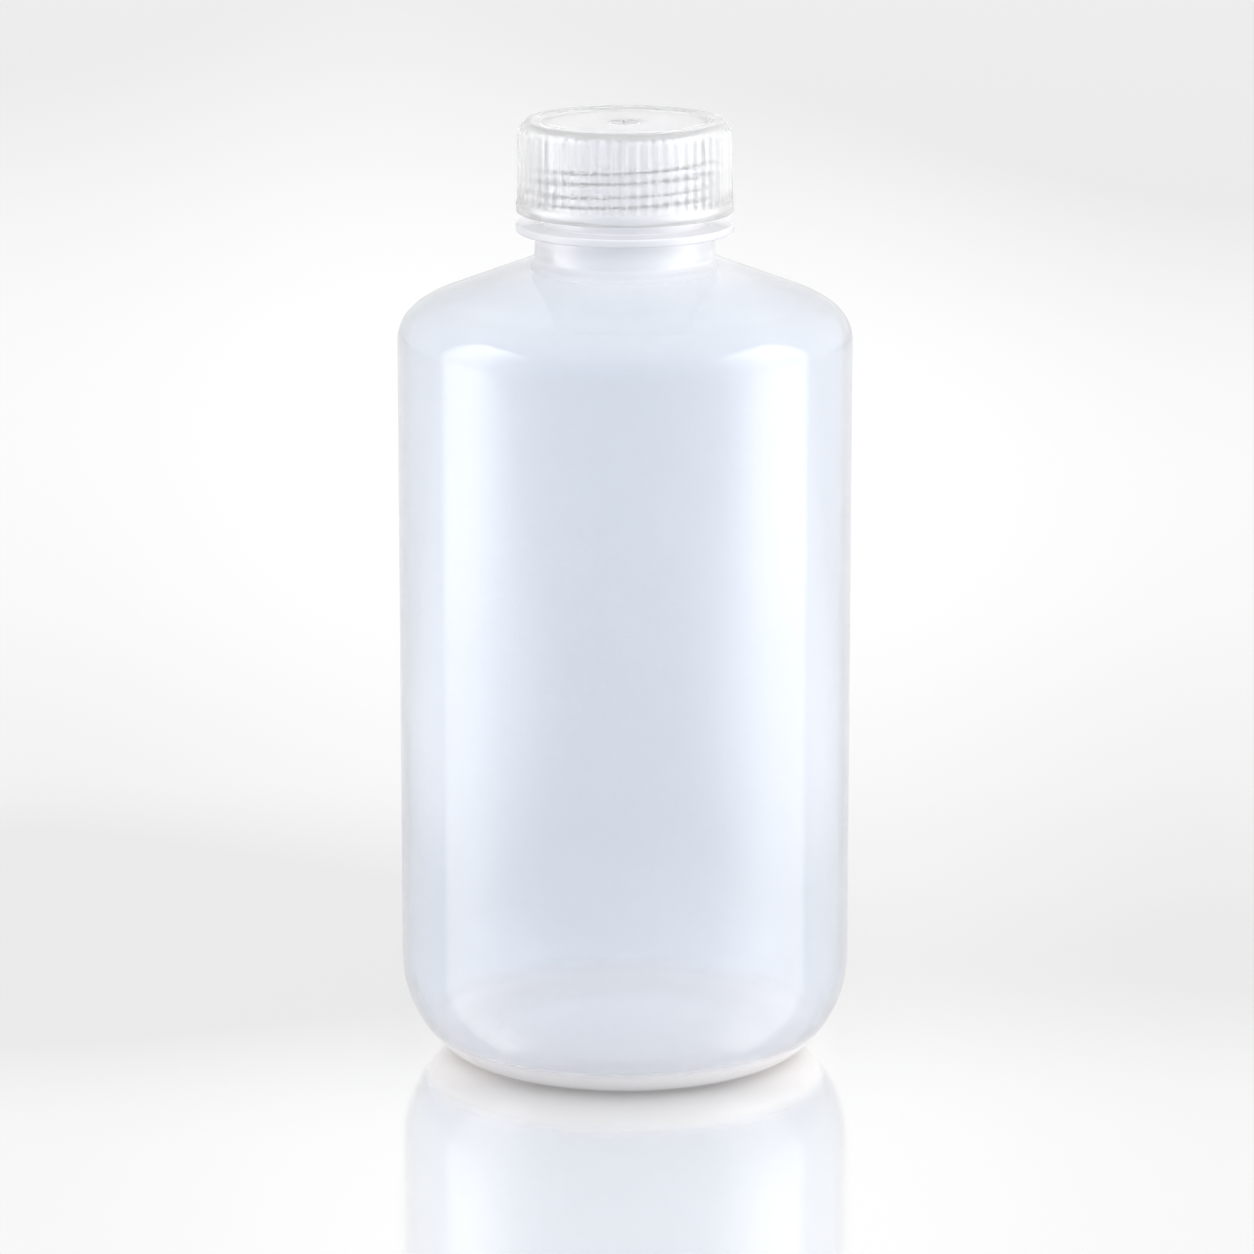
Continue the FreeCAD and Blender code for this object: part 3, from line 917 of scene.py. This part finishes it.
def add_lamp(name, place, target, width, height, glow, soft_side):
    """A rectangular soft lamp. It fades to its left (-1) or right (1) side and downwards."""
    data = bpy.data.lights.new(name, "AREA")
    data.shape = "RECTANGLE"
    data.size = width
    data.size_y = height
    data.energy = glow * math.pi * width * height
    data.color = LAMP_COLOUR
    data.use_nodes = True
    graph = Graph(data.node_tree)
    spot = graph.add("ShaderNodeNewGeometry").outputs["Parametric"]
    across, upwards, _ = graph.add("ShaderNodeSeparateXYZ", {0: spot}).outputs
    if soft_side > 0:
        across = graph.math("SUBTRACT", 1.0, across)
    across = graph.fade(across, *LAMP_ACROSS)
    shine = graph.math("MULTIPLY", across, graph.fade(upwards, *LAMP_UPWARDS))
    graph.feed(data.node_tree.nodes["Emission"].inputs["Strength"], shine)
    lamp = bpy.data.objects.new(name, data)
    lamp.location = place
    lamp.rotation_euler = (Vector(target) - Vector(place)).to_track_quat("-Z", "Y").to_euler()
    lamp.visible_camera = False
    bpy.context.scene.collection.objects.link(lamp)


def away_from(graph, value, middle):
    """How far a value is from a middle one, either way."""
    return graph.math("ABSOLUTE", graph.math("SUBTRACT", value, middle))


def floor_tones(graph, depth):
    """The glow that FLOOR_TONES gives at a depth."""
    start, end = FLOOR_TONES[0][0], FLOOR_TONES[-1][0]
    along = graph.math("DIVIDE", graph.math("SUBTRACT", depth, start), end - start)
    tones = graph.add("ShaderNodeValToRGB", {0: along})
    tones.color_ramp.interpolation = "B_SPLINE"
    while len(tones.color_ramp.elements) < len(FLOOR_TONES):
        tones.color_ramp.elements.new(0.5)
    for stop, (where, tone) in zip(tones.color_ramp.elements, FLOOR_TONES):
        stop.position = (where - start) / (end - start)
        stop.color = (tone, tone, tone, 1.0)
    return tones.outputs[0]


def painted_light_pool(graph, across, depth):
    """The painted glow of the pool of light under and behind the bottle."""
    inner = graph.fade(away_from(graph, across, 0.0), *POOL_ASIDE)
    inner = graph.math("MULTIPLY", inner, graph.fade(depth, *POOL_START))
    return graph.math("MULTIPLY", inner, graph.fade(depth, *POOL_END))


def floor_lift(graph, across, depth, camera_back, pool):
    """All of the floor's glow, with its painted shade and painted light, for the rays that see the floor
    and not for those that light.
    """
    aside = graph.math("DIVIDE", across, graph.math("ADD", depth, camera_back))
    edges = graph.fade(away_from(graph, aside, 0.0), *GLOW_EDGES)
    lift = graph.math("ADD", floor_tones(graph, depth), edges)
    near = graph.fade(away_from(graph, depth, NEAR_MIDDLE), *NEAR_DEPTH)
    beside = graph.fade(away_from(graph, depth, BESIDE_MIDDLE), *BESIDE_DEPTH)
    for glow, part in (
        (graph.fade(aside, *GLOW_FAR_RIGHT), graph.fade(depth, *FAR_DEPTH)),
        (graph.fade(aside, *GLOW_NEAR_RIGHT), near),
        (graph.fade(away_from(graph, across, 0.0), *BESIDE_ASIDE), beside),
    ):
        lift = graph.math("ADD", lift, graph.math("MULTIPLY", glow, part))
    lift = graph.math("MAXIMUM", graph.math("ADD", lift, pool), 0.0)
    path = graph.add("ShaderNodeLightPath").outputs
    seen = graph.math("MAXIMUM", path["Is Camera Ray"], path["Is Glossy Ray"])
    seen = graph.math("MAXIMUM", seen, path["Is Transmission Ray"])
    return graph.math("MULTIPLY", lift, seen)


def floor_material(looks):
    """A glossy white floor: part satin, part mirror, with painted shade round the standing ring and a
    painted glow that places the background.
    """
    material = bpy.data.materials.new("glossy white floor")
    material.use_nodes = True
    material.node_tree.nodes.clear()
    graph = Graph(material.node_tree)
    place = graph.add("ShaderNodeTexCoord").outputs["Object"]
    across, depth, _ = graph.add("ShaderNodeSeparateXYZ", {0: place}).outputs
    flat = graph.add("ShaderNodeCombineXYZ", {0: across, 1: depth}).outputs[0]
    away = graph.add("ShaderNodeVectorMath", {0: flat}, operation="LENGTH").outputs["Value"]
    # Painted shade: the floor's colour and its mirror darken round the standing ring.
    contact_shade = graph.fade(away, *FLOOR_CONTACT)
    shaded = graph.add(
        "ShaderNodeVectorMath", {0: looks.floor_colour, "Scale": contact_shade}, operation="SCALE"
    )
    satin = graph.add(
        "ShaderNodeBsdfPrincipled",
        {"Base Color": shaded.outputs[0], "Roughness": looks.floor_rough},
    )
    mirror = graph.add(
        "ShaderNodeBsdfGlossy", {"Color": contact_shade, "Roughness": looks.floor_rough}
    )
    surface = graph.add(
        "ShaderNodeMixShader",
        {0: looks.floor_mirror, 1: satin.outputs[0], 2: mirror.outputs[0]},
    )
    # Painted pool of light under and behind the bottle, warmer where it is strong.
    pool = painted_light_pool(graph, across, depth)
    lift = floor_lift(graph, across, depth, looks.camera_back, pool)
    warmth = graph.blend(graph.math("MULTIPLY", pool, POOL_WARMTH), WHITE, POOL_COLOUR)
    glow = graph.add("ShaderNodeEmission", {"Color": warmth, "Strength": lift})
    both = graph.add("ShaderNodeAddShader", {0: surface.outputs[0], 1: glow.outputs[0]})
    graph.add("ShaderNodeOutputMaterial", {"Surface": both.outputs[0]})
    return material


def add_floor(looks):
    """A wide glossy floor that also fills the background."""
    mesh = bmesh.new()
    mesh.faces.new([mesh.verts.new((*corner, FLOOR_LEVEL)) for corner in FLOOR_CORNERS])
    floor = new_piece("floor", mesh)
    floor.data.materials.append(floor_material(looks))


def add_room(looks):
    """The room's light: one set of tones for gloss and glass, and a fill for all the rest."""
    world = bpy.data.worlds.new("soft room")
    world.use_nodes = True
    graph = Graph(world.node_tree)
    way = graph.add("ShaderNodeTexCoord").outputs["Generated"]
    side, back, up = graph.add("ShaderNodeSeparateXYZ", {0: way}).outputs
    around = graph.blend(graph.fade(back, *ROOM_AROUND), looks.room_front, looks.room_back)
    mirrored = graph.blend(graph.fade(up, *ROOM_OVERHEAD), around, looks.room_top)
    hue = graph.blend(graph.fade(back, *FILL_FRONT), looks.room_fill, looks.front_fill)
    strength = graph.math(
        "MULTIPLY", graph.fade(side, *FILL_RIGHTWARDS), graph.fade(up, *FILL_UPWARDS)
    )
    fill = graph.add("ShaderNodeVectorMath", {0: hue, "Scale": strength}, operation="SCALE")
    path = graph.add("ShaderNodeLightPath").outputs
    sharp = graph.math("MAXIMUM", path["Is Glossy Ray"], path["Is Transmission Ray"])
    room = graph.blend(sharp, fill.outputs[0], mirrored)
    graph.feed(world.node_tree.nodes["Background"].inputs["Color"], room)
    bpy.context.scene.world = world


class REAGENT_OT_make_stage(bpy.types.Operator):
    """Make the camera, the lamps and the floor"""

    bl_idname = "reagent.make_stage"
    bl_label = "Make Stage"

    def execute(self, context):
        looks = context.scene.stage_looks
        add_camera(looks)
        add_floor(looks)
        side, high = looks.lamp_distance, looks.lamp_height
        for name, way, width in (
            ("left lamp", -1, looks.left_width),
            ("right lamp", 1, looks.right_width),
        ):
            place = (way * side, looks.lamp_back - width / 2, high / 2 + LAMP_LIFT)
            aim = (0.0, place[1], place[2])
            add_lamp(name, place, aim, width, high, looks.side_glow, -way)
        add_room(looks)
        context.scene.view_settings.view_transform = "Standard"
        return {"FINISHED"}


class REAGENT_PT_panel(bpy.types.Panel):
    """Buttons that make the bottle, the cap and the stage"""

    bl_idname = "REAGENT_PT_panel"
    bl_label = "Reagent Bottle"
    bl_space_type = "VIEW_3D"
    bl_region_type = "UI"
    bl_category = "Bottle"

    def draw(self, context):
        for operator in OPERATORS:
            self.layout.operator(operator.bl_idname)
        for group in GROUPS:
            self.layout.label(text=group.__doc__)
            for name in group.__annotations__:
                self.layout.prop(getattr(context.scene, GROUPS[group]), name)


OPERATORS = (REAGENT_OT_make_bottle, REAGENT_OT_make_cap, REAGENT_OT_make_stage)
GROUPS = {
    BottleSizes: "bottle_sizes",
    ThreadSizes: "thread_sizes",
    CapSizes: "cap_sizes",
    PlasticLooks: "plastic_looks",
    StageLooks: "stage_looks",
}


def register():
    """Register the sizes, the operators and the panel."""
    for group, name in GROUPS.items():
        bpy.utils.register_class(group)
        setattr(bpy.types.Scene, name, PointerProperty(type=group))
    for item in (*OPERATORS, REAGENT_PT_panel):
        bpy.utils.register_class(item)


def unregister():
    """Take them away again."""
    for item in (REAGENT_PT_panel, *OPERATORS[::-1]):
        bpy.utils.unregister_class(item)
    for group, name in GROUPS.items():
        delattr(bpy.types.Scene, name)
        bpy.utils.unregister_class(group)


def main():
    """Build the bottle, the cap and the stage."""
    register()
    bpy.ops.reagent.make_bottle()
    bpy.ops.reagent.make_cap()
    bpy.ops.reagent.make_stage()


if __name__ == "__main__":
    main()
